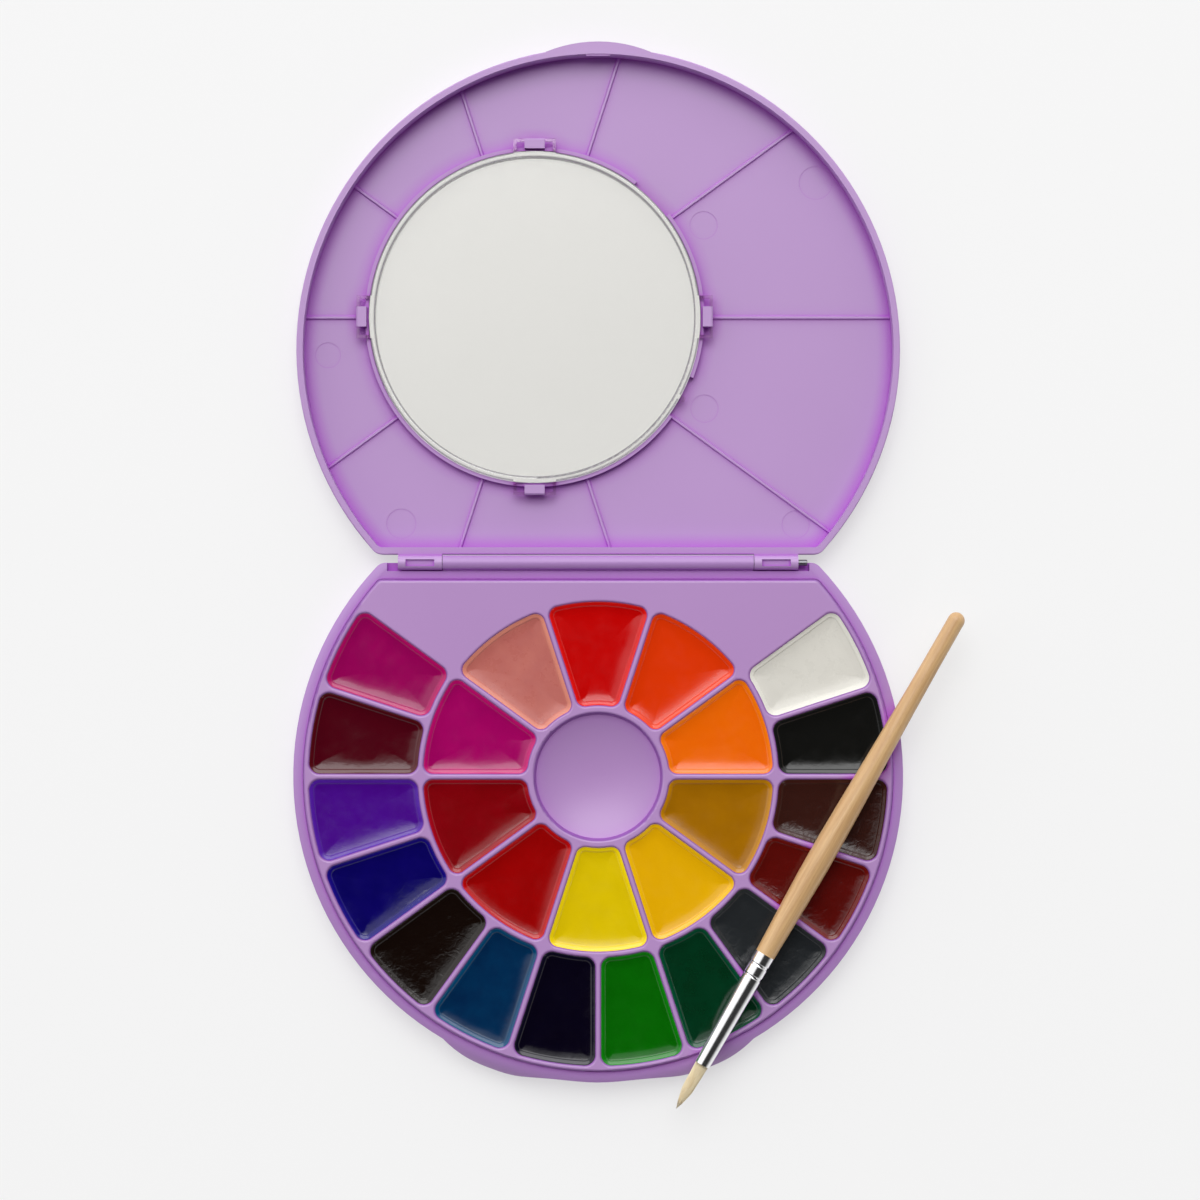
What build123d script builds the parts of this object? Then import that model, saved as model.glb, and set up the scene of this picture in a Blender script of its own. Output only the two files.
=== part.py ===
from build123d import *

import math
import os

# Watercolour paint set: a round palette with a hinged lid that opens flat, a window in the
# lid, twenty four paint cakes, a mixing bowl and a brush.
# Sizes are in millimetres. The origin is the centre of the palette's circle, on the surface
# that it stands on. The hinge lies along X on the +Y side, and the open lid lies beyond it.

# Base shell
base_radius = 100.0
base_height = 9.0
base_chord = 70.0
base_corner = 4.0
base_bottom_round = 2.0
base_rim_round = 0.5
shell_floor = 1.6
shell_wall = 2.0
chord_wall = 4.0
snap_rim_height = 2.6
rim_to_tray_gap = 0.15
rim_slope_start = 97.3
rim_slope_radius = 6.0
rim_slope_reach = 5.6

# Lip at the front of the base, with a scallop for the thumb
lip_height = 4.0
lip_root = 1.5
lip_bottom_round = 1.0
lip_outline = [(31, -0.2), (28, 1.2), (24, 2.3), (20, 2.45), (16, 2.3), (12, 1.15), (8, 0.4), (0, 0.5)]

# Well tray
tray_radius = 96.6
tray_chord = 64.6
tray_corner = 2.5
deck_height = 10.8
deck_thickness = 1.5
deck_round = 1.2
skirt_wall = 1.4
nib_width = 8.0
nib_proud = 0.6
nib_height = 1.2
nib_gap = 0.15
nib_angles = (30, 70, 110)

# Paint wells and mixing bowl
well_depth = 5.2
well_floor = 1.2
well_wall = 1.2
well_draft = 3.0
well_edge_round = 0.95
divider_width = 2.0
inner_well_start = 23.4
inner_well_end = 57.2
inner_well_span = 36.0
inner_first_angle = 90.0
outer_well_start = 59.2
outer_well_end = 94.6
outer_well_span = 18.0
outer_first_angle = 153.0
inner_well_corner = 3.0
outer_well_corner = 3.4
bowl_radius = 21.1
bowl_shoulder_radius = 20.3
bowl_shoulder_drop = 1.8
bowl_depth = 5.2

# Paint cakes
cake_below_deck = 1.2
cake_gap = 0.2
cake_dish_inset = 2.4
cake_dish_depth = 0.5
cake_dish_draft = 60.0
cake_least_corner = 0.8

# Hinge
hinge_height = 9.0
barrel_radius = 2.4
barrel_half_length = 50.9
knuckle_radius = 2.4
knuckle_end = 65.5
knuckle_side_gap = 0.2
knuckle_pocket_length = 9.4
knuckle_pocket_width = 2.2
knuckle_pocket_floor = 0.35
hinge_gap = 0.3
hinge_notch_end = 69.2
pin_radius = 1.0
pin_hold_length = 12.0
pin_press_gap = 0.01
pin_turning_gap = 0.06
pin_overhang = 3.0
pin_end_chamfer = 0.2

# Lid
lid_radius = 99.0
lid_chord = 67.3
lid_corner = 4.0
lid_wall = 2.1
lid_chord_wall = 2.4
lid_floor = 1.8
lid_bottom_round = 2.0
lid_rim_round = 0.4
lid_shut_gap = 0.2
lid_tab_angle = 10.0
lid_tab_proud = 1.9
lid_tab_height = 3.0
lid_tab_root = 1.0
bead_width = 8.0
bead_proud = 0.6
bead_height = 0.8
bead_below_rim = 0.3
bead_gap = 0.25

# Ribs and ejector marks on the lid's floor
rib_count = 10
rib_width = 1.4
rib_top_width = 0.6
rib_height = 0.8
ejector_depth = 0.12
ejector_marks = [
    (-65.0, -57.0, 4.9),
    (65.2, -57.3, 4.6),
    (71.8, 55.5, 5.5),
    (-89.2, -1.4, 4.2),
    (34.8, 41.5, 4.6),
    (35.1, -19.0, 4.6),
]

# Window in the lid, placed from the centre of the lid's circle
window_x = -20.9
window_y = 11.0
lens_radius = 54.5
lens_rim_width = 2.0
lens_thickness = 1.2
lens_recess = 0.4
lens_rim_round = 0.8
lens_gap = 0.2
lens_ear_lift = 0.1
lens_ear_thickness = 1.0
lens_ear_reach = 4.1
lens_ear_width = 14.0
lens_ear_bar = 1.0
collar_height = 2.4
collar_wall = 1.2
collar_gaps = [(-36.0, -21.0), (37.5, 53.0)]
pry_nub_angle = -29.0
pry_nub_width = 1.6
pry_nub_reach = 2.0
hook_width = 6.6
hook_post = 1.4
hook_post_gap = 0.25
hook_head_reach = 1.3
hook_head_height = 1.0
hook_head_gap = 0.1

# Brush, lying across the right side of the tray
brush_angle = 60.13
brush_tip_x = 25.3
brush_tip_y = -108.15
brush_rest_gap = 0.15
bristle_length = 17.2
bristle_root_radius = 2.35
bristle_waist_radius = 1.95
bristle_waist_from_tip = 7.5
bristle_point_radius = 0.5
bristle_step_back = 2.2
bristle_pitch = 0.231
bristle_width = 0.18
bristle_backing = 3.0
backing_gap = 0.02
ferrule_length = 41.2
ferrule_wall = 0.35
ferrule_mouth_radius = 2.55
ferrule_end_radius = 3.5
crimp_depth = 0.2
crimp_wire_radius = 0.8
crimp_places = (4.0, 8.2)
tenon_length = 10.5
tenon_gap = 0.02
handle_length = 128.0
handle_neck_radius = 3.3
handle_belly_radius = 4.1
handle_belly_from_neck = 32.0
handle_neck_slope = 0.02
handle_mid_radius = 3.5
handle_mid_from_neck = 70.0
handle_tail_radius = 2.8

# Places that follow from the sizes above
above_all = 2 * base_height
lid_height = base_height - lid_shut_gap
lid_centre_y = 2 * base_chord
rim_inner_radius = tray_radius + rim_to_tray_gap
rim_inner_chord = tray_chord + rim_to_tray_gap
well_bottom = deck_height - well_depth
cake_top = deck_height - cake_below_deck
lid_inner_radius = lid_radius - lid_wall
lid_inner_chord = lid_chord - lid_chord_wall
lens_hole_radius = lens_radius + lens_gap
collar_outer_radius = lens_hole_radius + collar_wall
collar_top = lid_floor + collar_height
ear_bottom = collar_top + lens_ear_lift
ear_top = ear_bottom + lens_ear_thickness
hook_head_bottom = ear_top + hook_head_gap
hook_head_top = hook_head_bottom + hook_head_height

# Names of the cakes, in order round each ring, anticlockwise seen from above
outer_cakes = [
    "cake_purple",
    "cake_maroon",
    "cake_violet",
    "cake_indigo",
    "cake_sepia",
    "cake_dark_blue",
    "cake_blue_black",
    "cake_green",
    "cake_dark_green",
    "cake_grey",
    "cake_red_brown",
    "cake_umber",
    "cake_black",
    "cake_white",
]
inner_cakes = [
    "cake_red",
    "cake_flesh_pink",
    "cake_magenta",
    "cake_crimson",
    "cake_deep_red",
    "cake_yellow",
    "cake_golden_yellow",
    "cake_ochre",
    "cake_orange",
    "cake_orange_red",
]


def polar(radius, angle):
    """Point at a radius and an angle in degrees from +X."""
    return (radius * math.cos(math.radians(angle)), radius * math.sin(math.radians(angle)))


def farthest(edge):
    """Distance of an edge's farther end from the Z axis."""
    return max(math.hypot(end.X, end.Y) for end in (edge @ 0, edge @ 1))


def d_outline(radius, chord, corner):
    """Circle with its +Y side cut off straight at the chord, and the two corners rounded."""
    kept = Rectangle(4 * radius, 2 * radius, align=(Align.CENTER, Align.MAX))
    outline = Circle(radius) & (Pos(0, chord) * kept)
    return fillet(outline.vertices(), corner)


def d_solid(radius, chord, corner, bottom, top):
    """Plate or plug of the cut circle between two heights."""
    return Pos(0, 0, bottom) * extrude(d_outline(radius, chord, corner), top - bottom)


def box_between(x_range, y_range, z_range):
    """Box given by its lowest and highest value along each axis."""
    size = [high - low for low, high in (x_range, y_range, z_range)]
    corner = (x_range[0], y_range[0], z_range[0])
    return Pos(*corner) * Box(*size, align=(Align.MIN, Align.MIN, Align.MIN))


def x_rod(radius, x_start, x_end):
    """Round rod along the hinge axis."""
    rod = Cylinder(radius, x_end - x_start, align=(Align.CENTER, Align.CENTER, Align.MIN))
    return Pos(x_start, base_chord, hinge_height) * Rot(0, 90, 0) * rod


# Base shell


def front_lip():
    """Lip that stands out at the front, with two humps and a scallop for the thumb."""
    far_side = [(-angle, proud) for angle, proud in lip_outline[:-1]]
    stations = far_side + lip_outline[::-1]
    points = [polar(base_radius + proud, 270 + angle) for angle, proud in stations]
    reach = lip_outline[0][0]
    root = base_radius - lip_root
    outer = Spline(*points)
    inner = ThreePointArc(polar(root, 270 + reach), polar(root, 270), polar(root, 270 - reach))
    sides = [Line(points[-1], polar(root, 270 + reach)), Line(polar(root, 270 - reach), points[0])]
    lip = Pos(0, 0, base_height - lip_height) * extrude(make_face([outer, inner] + sides), lip_height)
    low_edges = lip.edges().group_by(Axis.Z)[0]
    return fillet(low_edges.sort_by(Edge.length)[-1:], lip_bottom_round)


def rim_roof():
    """Room under the rim's top face, which falls away outwards over the rim and the lip."""
    start = (rim_slope_start, base_height)
    fall = rim_slope_radius - math.sqrt(rim_slope_radius**2 - rim_slope_reach**2)
    end = (rim_slope_start + rim_slope_reach, base_height - fall)
    edges = [
        TangentArc(start, end, tangent=(1, 0)),
        Polyline(end, (end[0], 0), (0, 0), (0, base_height), start),
    ]
    return revolve(Plane.XZ * make_face(edges), Axis.Z)


def hinge_notches():
    """Room in the base's straight wall for the lid's knuckles and for the pin's end."""
    low = hinge_height - knuckle_radius - hinge_gap
    near = base_chord - knuckle_radius - hinge_gap
    right = box_between((barrel_half_length, hinge_notch_end), (near, base_radius), (low, above_all))
    return right + mirror(right, Plane.YZ)


def base_shell():
    """Outer shell with its floor, snap rim, front lip and hinge barrel."""
    shell = d_solid(base_radius, base_chord, base_corner, 0, base_height)
    shell = fillet(shell.edges().group_by(Axis.Z)[0], base_bottom_round)
    shell = fillet(shell.edges().group_by(Axis.Z)[-1], base_rim_round)
    shell = (shell + front_lip()) & rim_roof()
    rim_bottom = base_height - snap_rim_height
    shell -= d_solid(
        base_radius - shell_wall, base_chord - chord_wall, base_corner, shell_floor, rim_bottom
    )
    shell -= d_solid(rim_inner_radius, rim_inner_chord, tray_corner, rim_bottom, above_all)
    shell -= hinge_notches()
    shell += x_rod(barrel_radius, -barrel_half_length, barrel_half_length)
    bore = x_rod(
        pin_radius + pin_press_gap, barrel_half_length - pin_hold_length, hinge_notch_end
    )
    return shell - bore - mirror(bore, Plane.YZ)


# Well tray


def well_outline(start, end, span, corner, angle, inset=0.0):
    """Sector of a ring between two dividers, with rounded corners."""
    half = math.radians(span / 2)
    apex = (divider_width / 2 + inset) / math.sin(half)
    reach = 2 * end
    far_x = apex + reach * math.cos(half)
    far_y = reach * math.sin(half)
    wedge = make_face(Polyline((apex, 0), (far_x, far_y), (far_x, -far_y), close=True))
    ring = Circle(end - inset) - Circle(start + inset)
    sector = fillet((ring & wedge).vertices(), max(corner - inset, cake_least_corner))
    return Rot(0, 0, angle) * sector


def inner_wells():
    """Name and outline sizes of each well in the inner ring."""
    for index, name in enumerate(inner_cakes):
        angle = inner_first_angle + index * inner_well_span
        yield name, (inner_well_start, inner_well_end, inner_well_span, inner_well_corner, angle)


def outer_wells():
    """Name and outline sizes of each well in the outer ring."""
    for index, name in enumerate(outer_cakes):
        angle = outer_first_angle + index * outer_well_span
        yield name, (outer_well_start, outer_well_end, outer_well_span, outer_well_corner, angle)


def all_wells():
    """Every well, inner ring first."""
    return list(inner_wells()) + list(outer_wells())


def mixing_bowl():
    """Hollow of the bowl: a round bottom, then a short steep wall."""
    shoulder = (bowl_shoulder_radius, deck_height - bowl_shoulder_drop)
    bottom = (0, deck_height - bowl_depth)
    edges = [
        TangentArc(bottom, shoulder, tangent=(1, 0)),
        Polyline(shoulder, (bowl_radius, deck_height), (0, deck_height), bottom),
    ]
    return revolve(Plane.XZ * make_face(edges), Axis.Z)


def well_block():
    """Material that the wells are sunk in: a disc, and a ring that is open at the hinge side."""
    bottom = well_bottom - well_floor
    disc = Circle(inner_well_end + well_wall)
    ring = Circle(outer_well_end + well_wall) - Circle(outer_well_start - well_wall)
    first = outer_first_angle - outer_well_span / 2
    last = first + len(outer_cakes) * outer_well_span
    reach = 2 * outer_well_end
    gap_angles = [last - 360, (first + last - 360) / 2, first]
    gap_points = [(0, 0)] + [polar(reach, angle) for angle in gap_angles]
    gap = make_face(Polyline(*gap_points, close=True))
    return Pos(0, 0, bottom) * extrude(disc + (ring - gap), deck_height - bottom)


def snap_nibs():
    """Small nibs on the tray's skirt that catch under the shell's rim."""
    top = base_height - snap_rim_height - nib_gap
    nib = box_between(
        (tray_radius - skirt_wall, tray_radius + nib_proud),
        (-nib_width / 2, nib_width / 2),
        (top - nib_height, top),
    )
    nib = chamfer(nib.faces().sort_by(Axis.X)[-1].edges(), nib_proud / 2)
    angles = [270 + side * step for step in nib_angles for side in (-1, 1)]
    return [Rot(0, 0, angle) * nib for angle in angles]


def bead_groove():
    """Groove in the tray's front edge that the lid's bead drops into."""
    top = 2 * hinge_height - (lid_height - bead_below_rim - bead_height) + bead_gap / 2
    bottom = top - bead_height - bead_gap
    depth = lid_inner_radius - bead_proud - bead_gap
    return box_between(
        (-bead_width / 2 - bead_gap, bead_width / 2 + bead_gap),
        (-base_radius, -depth),
        (bottom, top),
    )


def well_tray():
    """Tray with its deck, skirt, paint wells and mixing bowl, in one moulding."""
    body = d_solid(tray_radius, tray_chord, tray_corner, shell_floor, deck_height)
    body = fillet(body.edges().group_by(Axis.Z)[-1], deck_round)
    body -= d_solid(
        tray_radius - skirt_wall,
        tray_chord - skirt_wall,
        tray_corner,
        shell_floor,
        deck_height - deck_thickness,
    )
    body += snap_nibs()
    body -= bead_groove()
    body += well_block()
    mouths = [Pos(0, 0, deck_height) * well_outline(*well) for _, well in all_wells()]
    body -= [extrude(mouth, -well_depth, taper=well_draft) for mouth in mouths]
    body -= mixing_bowl()
    deck_edges = body.edges().group_by(Axis.Z)[-1]
    mouth_edges = deck_edges.filter_by(lambda edge: farthest(edge) < outer_well_end + well_wall)
    return fillet(mouth_edges, well_edge_round)


def paint_cake(well):
    """Cake of dried paint that fills a well, with a dished top."""
    inset = cake_gap + well_depth * math.tan(math.radians(well_draft))
    cake = Pos(0, 0, well_bottom) * extrude(well_outline(*well, inset), cake_top - well_bottom)
    dish = Pos(0, 0, cake_top) * well_outline(*well, inset + cake_dish_inset)
    return cake - extrude(dish, -cake_dish_depth, taper=cake_dish_draft)


# Lid


def lid_plate(radius, chord, corner, bottom, top):
    """Cut circle of the lid, with its straight side towards the hinge."""
    return Pos(0, lid_centre_y) * Rot(0, 0, 180) * d_solid(radius, chord, corner, bottom, top)


def lid_tab():
    """Finger tab at the front of the lid."""
    root = lid_radius - lid_tab_root
    left, right = 90 + lid_tab_angle, 90 - lid_tab_angle
    front = (0, lid_radius + lid_tab_proud)
    edges = [
        ThreePointArc(polar(lid_radius, left), front, polar(lid_radius, right)),
        Line(polar(lid_radius, right), polar(root, right)),
        ThreePointArc(polar(root, right), (0, root), polar(root, left)),
        Line(polar(root, left), polar(lid_radius, left)),
    ]
    bottom = lid_height - lid_tab_height
    return Pos(0, lid_centre_y, bottom) * extrude(make_face(edges), lid_tab_height)


def lid_knuckle():
    """Right knuckle, with the web that joins it to the lid's straight wall."""
    inner_end = barrel_half_length + knuckle_side_gap
    wall_face = lid_centre_y - lid_chord
    knuckle = x_rod(knuckle_radius, inner_end, knuckle_end)
    knuckle += box_between(
        (inner_end, knuckle_end),
        (base_chord, wall_face + lid_chord_wall / 2),
        (hinge_height - knuckle_radius, lid_height),
    )
    middle = (inner_end + knuckle_end) / 2
    pocket = box_between(
        (middle - knuckle_pocket_length / 2, middle + knuckle_pocket_length / 2),
        (base_chord - knuckle_pocket_width / 2, base_chord + knuckle_pocket_width / 2),
        (hinge_height + pin_radius + pin_turning_gap + knuckle_pocket_floor, above_all),
    )
    return knuckle - pocket


def snap_bead():
    """Bead inside the lid's front wall."""
    top = lid_height - bead_below_rim
    inner = lid_inner_radius - bead_proud
    return box_between(
        (-bead_width / 2, bead_width / 2),
        (lid_centre_y + inner, lid_centre_y + lid_inner_radius + lid_wall / 2),
        (top - bead_height, top),
    )


def in_window(piece):
    """Move a piece from the window's own centre to its place in the lid."""
    return Pos(window_x, lid_centre_y + window_y) * piece


def lid_ribs():
    """Thin ribs with sloping sides that run from the window's collar to the lid's wall."""
    outline = Polyline(
        (-rib_width / 2, lid_floor / 2),
        (rib_width / 2, lid_floor / 2),
        (rib_width / 2, lid_floor),
        (rib_top_width / 2, lid_floor + rib_height),
        (-rib_top_width / 2, lid_floor + rib_height),
        (-rib_width / 2, lid_floor),
        close=True,
    )
    section = Plane.YZ * make_face(outline)
    rib = extrude(section, 2 * lid_radius, dir=(1, 0, 0))
    rib = Pos(lens_hole_radius + collar_wall / 2, 0, 0) * rib
    field = lid_plate(
        lid_inner_radius + lid_wall / 2,
        lid_inner_chord + lid_chord_wall / 2,
        tray_corner,
        0,
        lid_height,
    )
    ribs = [in_window(Rot(0, 0, 360 / rib_count * index) * rib) for index in range(rib_count)]
    return [rib & field for rib in ribs]


def collar():
    """Ring that stands round the window, with two gaps to pry the lens out."""
    ring = Circle(collar_outer_radius) - Circle(lens_hole_radius)
    ring = Pos(0, 0, lid_floor / 2) * extrude(ring, collar_top - lid_floor / 2)
    for first, last in collar_gaps:
        reach = 2 * lens_radius
        wedge = make_face(Polyline((0, 0), polar(reach, first), polar(reach, last), close=True))
        ring -= Pos(0, 0, lid_floor) * extrude(wedge, above_all)
    return ring


def lens_hook():
    """Hook beyond the collar at angle zero, whose head overhangs the lens's ear."""
    post_inner = collar_outer_radius - collar_wall / 2
    post_outer = lens_radius + lens_ear_reach - lens_ear_bar - hook_post_gap
    post = box_between(
        (post_inner, post_outer), (-hook_width / 2, hook_width / 2), (lid_floor / 2, hook_head_top)
    )
    head = box_between(
        (post_outer - hook_post, post_outer + hook_head_reach),
        (-hook_width / 2, hook_width / 2),
        (hook_head_bottom, hook_head_top),
    )
    head = chamfer(head.edges().group_by(Axis.X)[-1].sort_by(Axis.Z)[-1:], hook_head_height / 2)
    return post + head


def lid_shell():
    """Lid with its rim, window collar, hooks, ribs and hinge knuckles."""
    lid = lid_plate(lid_radius, lid_chord, lid_corner, 0, lid_height)
    lid = fillet(lid.edges().group_by(Axis.Z)[0], lid_bottom_round)
    lid = fillet(lid.edges().group_by(Axis.Z)[-1], lid_rim_round)
    lid += lid_tab()
    lid -= lid_plate(lid_inner_radius, lid_inner_chord, tray_corner, lid_floor, above_all)
    low = hinge_height - barrel_radius - hinge_gap
    lid -= box_between(
        (-barrel_half_length - hinge_gap, barrel_half_length + hinge_gap),
        (base_chord, base_chord + barrel_radius + hinge_gap),
        (low, above_all),
    )
    knuckle = lid_knuckle()
    lid += [knuckle, mirror(knuckle, Plane.YZ), snap_bead()]
    lid += lid_ribs()
    lid += in_window(collar())
    lid += [in_window(Rot(0, 0, 90 * quarter) * lens_hook()) for quarter in range(4)]
    lid -= in_window(Cylinder(lens_hole_radius, above_all))
    for x, y, radius in ejector_marks:
        mark = Cylinder(radius, ejector_depth, align=(Align.CENTER, Align.CENTER, Align.MAX))
        lid -= Pos(x, lid_centre_y + y, lid_floor) * mark
    bore = x_rod(pin_radius + pin_turning_gap, barrel_half_length, knuckle_end + 1)
    return lid - bore - mirror(bore, Plane.YZ)


def window_lens():
    """Clear dish that fills the window, with four ears that snap under the lid's hooks."""
    dish = Pos(0, 0, lens_recess) * extrude(Circle(lens_radius), ear_top - lens_recess)
    hollow = Circle(lens_radius - lens_rim_width)
    dish -= Pos(0, 0, lens_recess + lens_thickness) * extrude(hollow, ear_top)
    dish = fillet(dish.edges().group_by(Axis.Z)[-1], lens_rim_round)
    ear = box_between(
        (lens_radius - lens_ear_reach, lens_radius + lens_ear_reach),
        (-lens_ear_width / 2, lens_ear_width / 2),
        (ear_bottom, ear_top),
    )
    ear -= box_between(
        (lens_radius, lens_radius + lens_ear_reach - lens_ear_bar),
        (-lens_ear_width / 2 + lens_ear_bar, lens_ear_width / 2 - lens_ear_bar),
        (ear_bottom, ear_top),
    )
    ear -= Cylinder(lens_radius - lens_rim_width / 2, above_all)
    nub = box_between(
        (lens_radius - lens_rim_width / 2, lens_radius + pry_nub_reach),
        (-pry_nub_width / 2, pry_nub_width / 2),
        (ear_bottom, ear_top),
    )
    dish += [Rot(0, 0, 90 * quarter) * ear for quarter in range(4)]
    dish += Rot(0, 0, pry_nub_angle) * nub
    return in_window(dish)


# Hinge pins


def hinge_pin(x_start, x_end):
    """Steel pin pressed into the barrel, on which a knuckle turns."""
    pin = x_rod(pin_radius, x_start, x_end)
    return chamfer(pin.edges().filter_by(GeomType.CIRCLE), pin_end_chamfer)


# Brush, drawn along +X from the tip of its bristles and then laid across the tray


def ferrule_radius(place, inset=0.0):
    """Outer radius of the ferrule at a distance from the tip, less an inset."""
    share = (place - bristle_length) / ferrule_length
    return ferrule_mouth_radius + share * (ferrule_end_radius - ferrule_mouth_radius) - inset


def brush_ferrule():
    """Thin tapered metal tube with two crimped grooves."""
    mouth, end = bristle_length, bristle_length + ferrule_length
    outline = Polyline(
        (mouth, ferrule_radius(mouth)),
        (end, ferrule_radius(end)),
        (end, ferrule_radius(end, ferrule_wall)),
        (mouth, ferrule_radius(mouth, ferrule_wall)),
        close=True,
    )
    tube = revolve(make_face(outline), Axis.X)
    for from_end in crimp_places:
        middle = end - from_end
        wire_height = ferrule_radius(middle) - crimp_depth + crimp_wire_radius
        tube -= revolve(Pos(middle, wire_height) * Circle(crimp_wire_radius), Axis.X)
    return tube


def brush_handle():
    """Turned wooden handle with a tenon inside the ferrule."""
    neck = bristle_length + ferrule_length
    end = neck + handle_length
    tenon_start = neck - tenon_length
    inset = ferrule_wall + tenon_gap
    curve = Spline(
        (neck, handle_neck_radius),
        (neck + handle_belly_from_neck, handle_belly_radius),
        (neck + handle_mid_from_neck, handle_mid_radius),
        (end - handle_tail_radius, handle_tail_radius),
        tangents=[(1, handle_neck_slope), (1, 0)],
    )
    nose = RadiusArc((end - handle_tail_radius, handle_tail_radius), (end, 0), handle_tail_radius)
    sides = [
        nose,
        Line((end, 0), (tenon_start, 0)),
        Line((tenon_start, 0), (tenon_start, ferrule_radius(tenon_start, inset))),
        Line((tenon_start, ferrule_radius(tenon_start, inset)), (neck, ferrule_radius(neck, inset))),
        Line((neck, ferrule_radius(neck, inset)), (neck, handle_neck_radius)),
    ]
    return revolve(make_face([curve] + sides), Axis.X)


def strand_places():
    """Centres of the strands at the root, on a triangular grid inside the tuft's circle."""
    places = []
    reach = math.ceil(2 * bristle_root_radius / bristle_pitch)
    for row in range(-reach, reach + 1):
        for column in range(-reach, reach + 1):
            y = bristle_pitch * (column + row / 2)
            z = bristle_pitch * row * math.sqrt(3) / 2
            if math.hypot(y, z) <= bristle_root_radius - bristle_pitch:
                places.append((y, z))
    return places


def strand(y, z):
    """Three sided strand that draws in with the whole tuft; the outer ones end sooner."""
    end = bristle_step_back * (math.hypot(y, z) / bristle_root_radius) ** 2
    slope = (bristle_waist_radius - bristle_point_radius) / bristle_waist_from_tip
    stations = [
        (bristle_length, bristle_root_radius),
        (bristle_waist_from_tip, bristle_waist_radius),
        (end, bristle_point_radius + slope * end),
    ]
    sections = []
    for x, tuft_radius in stations:
        scale = tuft_radius / bristle_root_radius
        corners = [polar(bristle_width / 2, 120 * side) for side in range(3)]
        points = [Vector(x, scale * (y + across), scale * (z + up)) for across, up in corners]
        sections.append(Wire.make_polygon(points))
    return Solid.make_loft(sections, ruled=True)


def brush_bristles():
    """Tuft of separate strands on the slice that the ferrule holds."""
    backing = Cylinder(
        ferrule_radius(bristle_length, ferrule_wall + backing_gap),
        bristle_backing,
        rotation=(0, 90, 0),
        align=(Align.CENTER, Align.CENTER, Align.MIN),
    )
    strands = [strand(y, z) for y, z in strand_places()]
    return (Pos(bristle_length, 0, 0) * backing).fuse(*strands, glue=True)


def brush_pose():
    """Place of the brush: its belly and its thinner part rest on the tray's deck."""
    along_x, along_y = polar(1, brush_angle)
    tip_to_foot = -(brush_tip_x * along_x + brush_tip_y * along_y)
    offset = math.hypot(brush_tip_x, brush_tip_y) ** 2 - tip_to_foot**2
    rim = tip_to_foot + math.sqrt(tray_radius**2 - offset)
    belly = bristle_length + ferrule_length + handle_belly_from_neck
    mid = bristle_length + ferrule_length + handle_mid_from_neck
    tail = bristle_length + ferrule_length + handle_length
    share = (rim - mid) / (tail - mid)
    rim_radius = handle_mid_radius + share * (handle_tail_radius - handle_mid_radius)
    slope = math.asin((handle_belly_radius - rim_radius) / (rim - belly))
    tip_height = deck_height + brush_rest_gap + handle_belly_radius + belly * math.sin(slope)
    turn = Rot(0, 0, brush_angle) * Rot(0, math.degrees(slope), 0)
    return Pos(brush_tip_x, brush_tip_y, tip_height) * turn


def write(name, shape):
    """Write one piece of the set to its own file."""
    export_step(shape, "parts/" + name + ".step")


os.makedirs("parts", exist_ok=True)
write("base_shell", base_shell())
write("well_tray", well_tray())
for cake_name, cake_well in all_wells():
    write(cake_name, paint_cake(cake_well))
write("lid_shell", lid_shell())
write("window_lens", window_lens())
pin_inner_end = barrel_half_length - pin_hold_length
write("hinge_pin_left", hinge_pin(-knuckle_end, -pin_inner_end))
write("hinge_pin_right", hinge_pin(pin_inner_end, knuckle_end + pin_overhang))
brush_place = brush_pose()
write("brush_handle", brush_place * brush_handle())
write("brush_ferrule", brush_place * brush_ferrule())
write("brush_bristles", brush_place * brush_bristles())
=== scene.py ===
import math
import random

import bmesh
import bpy
from mathutils import Matrix, Vector, noise


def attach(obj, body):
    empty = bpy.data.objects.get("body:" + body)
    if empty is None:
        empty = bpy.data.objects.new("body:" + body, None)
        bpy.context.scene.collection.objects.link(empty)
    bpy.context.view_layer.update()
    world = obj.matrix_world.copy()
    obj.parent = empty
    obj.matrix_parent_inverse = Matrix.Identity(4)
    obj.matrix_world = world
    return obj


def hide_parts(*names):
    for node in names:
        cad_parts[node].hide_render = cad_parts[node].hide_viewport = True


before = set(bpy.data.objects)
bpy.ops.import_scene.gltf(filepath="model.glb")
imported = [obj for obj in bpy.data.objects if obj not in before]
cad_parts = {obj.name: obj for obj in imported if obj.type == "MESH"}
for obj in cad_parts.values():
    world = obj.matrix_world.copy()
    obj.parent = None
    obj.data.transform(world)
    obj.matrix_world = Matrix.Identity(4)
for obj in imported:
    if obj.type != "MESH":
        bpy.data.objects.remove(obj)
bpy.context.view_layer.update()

MM = 0.001

# The photograph's view: straight down, with the picture's middle over this point
view_centre = (0.6 * MM, 57.8 * MM)
view_height = 950 * MM
view_width_at_deck = 392.5 * MM
deck_z = 10.8 * MM
sensor_width = 36.0
camera_reach = 20.0

# Light. World levels go from overhead and the near side (0) to the far horizon (1), and a ring of
# light lies low all round. A lamp's level is its share of full light on a level surface
key_level = 0.42
key_distance = 2.4
key_from_vertical = 32.0
key_turn = 4.0
key_size = 1.7
glint_level = 0.012
glint_distance = 2.0
glint_from_vertical = 58.0
glint_turn = 215.0
glint_size = 0.22
world_turn = -20.0
world_strength = 1.4
world_levels = [(0.0, 0.02), (0.05, 0.05), (0.17, 0.7), (0.5, 0.95), (1.0, 1.0)]
horizon_level = 0.5
horizon_bottom = 0.15
horizon_top = 0.6

# Floor: its own tone, and how much of it glows where it is seen directly or through the dish
floor_size = 8.0
floor_drop = 0.05 * MM
floor_tone = 0.9
floor_glow = 0.6
floor_glow_in_clear = 0.8
backdrop_tone = 0.94

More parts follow.
